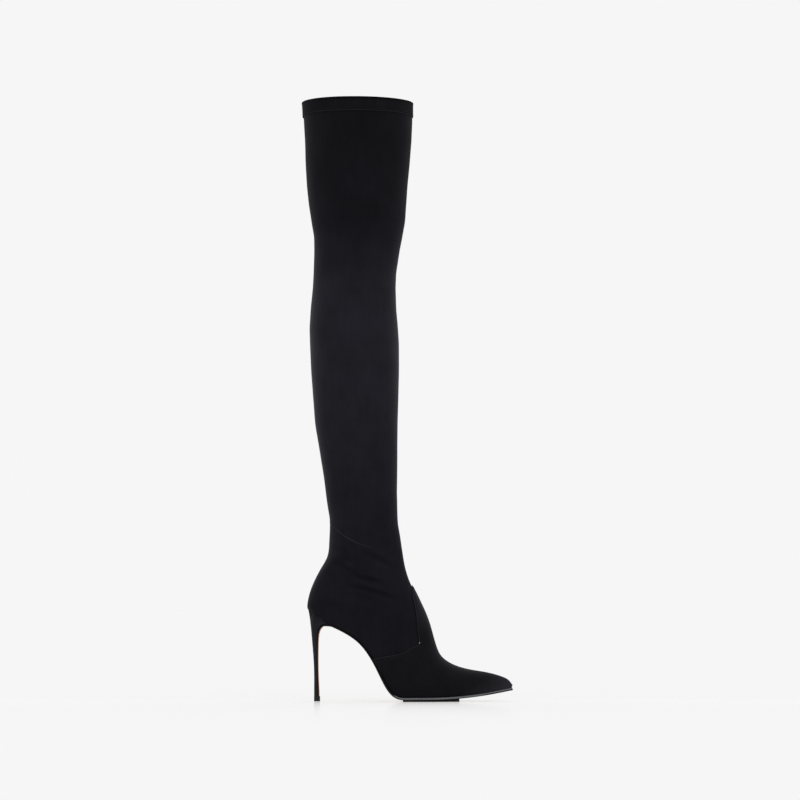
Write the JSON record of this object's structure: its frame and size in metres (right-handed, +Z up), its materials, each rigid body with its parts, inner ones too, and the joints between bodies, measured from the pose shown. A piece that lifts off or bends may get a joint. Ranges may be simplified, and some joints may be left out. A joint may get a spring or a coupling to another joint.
{
  "type": "thigh-high boot",
  "caption": "thigh-high pull-on boot in black stretch suede with a pointed toe, a slim high heel, a thin leather sole and a folded collar band",
  "frame": {"origin": "the middle of the heel tip's floor face", "axes": "+X from heel to toe, +Y to the inner side of the right foot, +Z up along the shaft"},
  "size_m": [0.2344, 0.126, 0.664],
  "materials": {
    "black_suede": "matt stretch suede with a short nap",
    "black_suede_vamp": "matt suede with a short nap",
    "black_suede_band": "matt suede, folded and stitched",
    "insole_leather": "smooth lining leather",
    "sole_leather": "smooth pale tan sole leather",
    "tread_rubber": "matt rubber",
    "heel_suede": "suede stretched over a hard heel",
    "black_rubber": "hard rubber"
  },
  "bodies": {
    "root": {"upper": "black_suede", "vamp": "black_suede_vamp", "collar_band": "black_suede_band", "insole": "insole_leather", "outsole": "sole_leather", "tread": "tread_rubber", "heel": "heel_suede", "heel_tip": "black_rubber"}
  },
  "joints": []
}
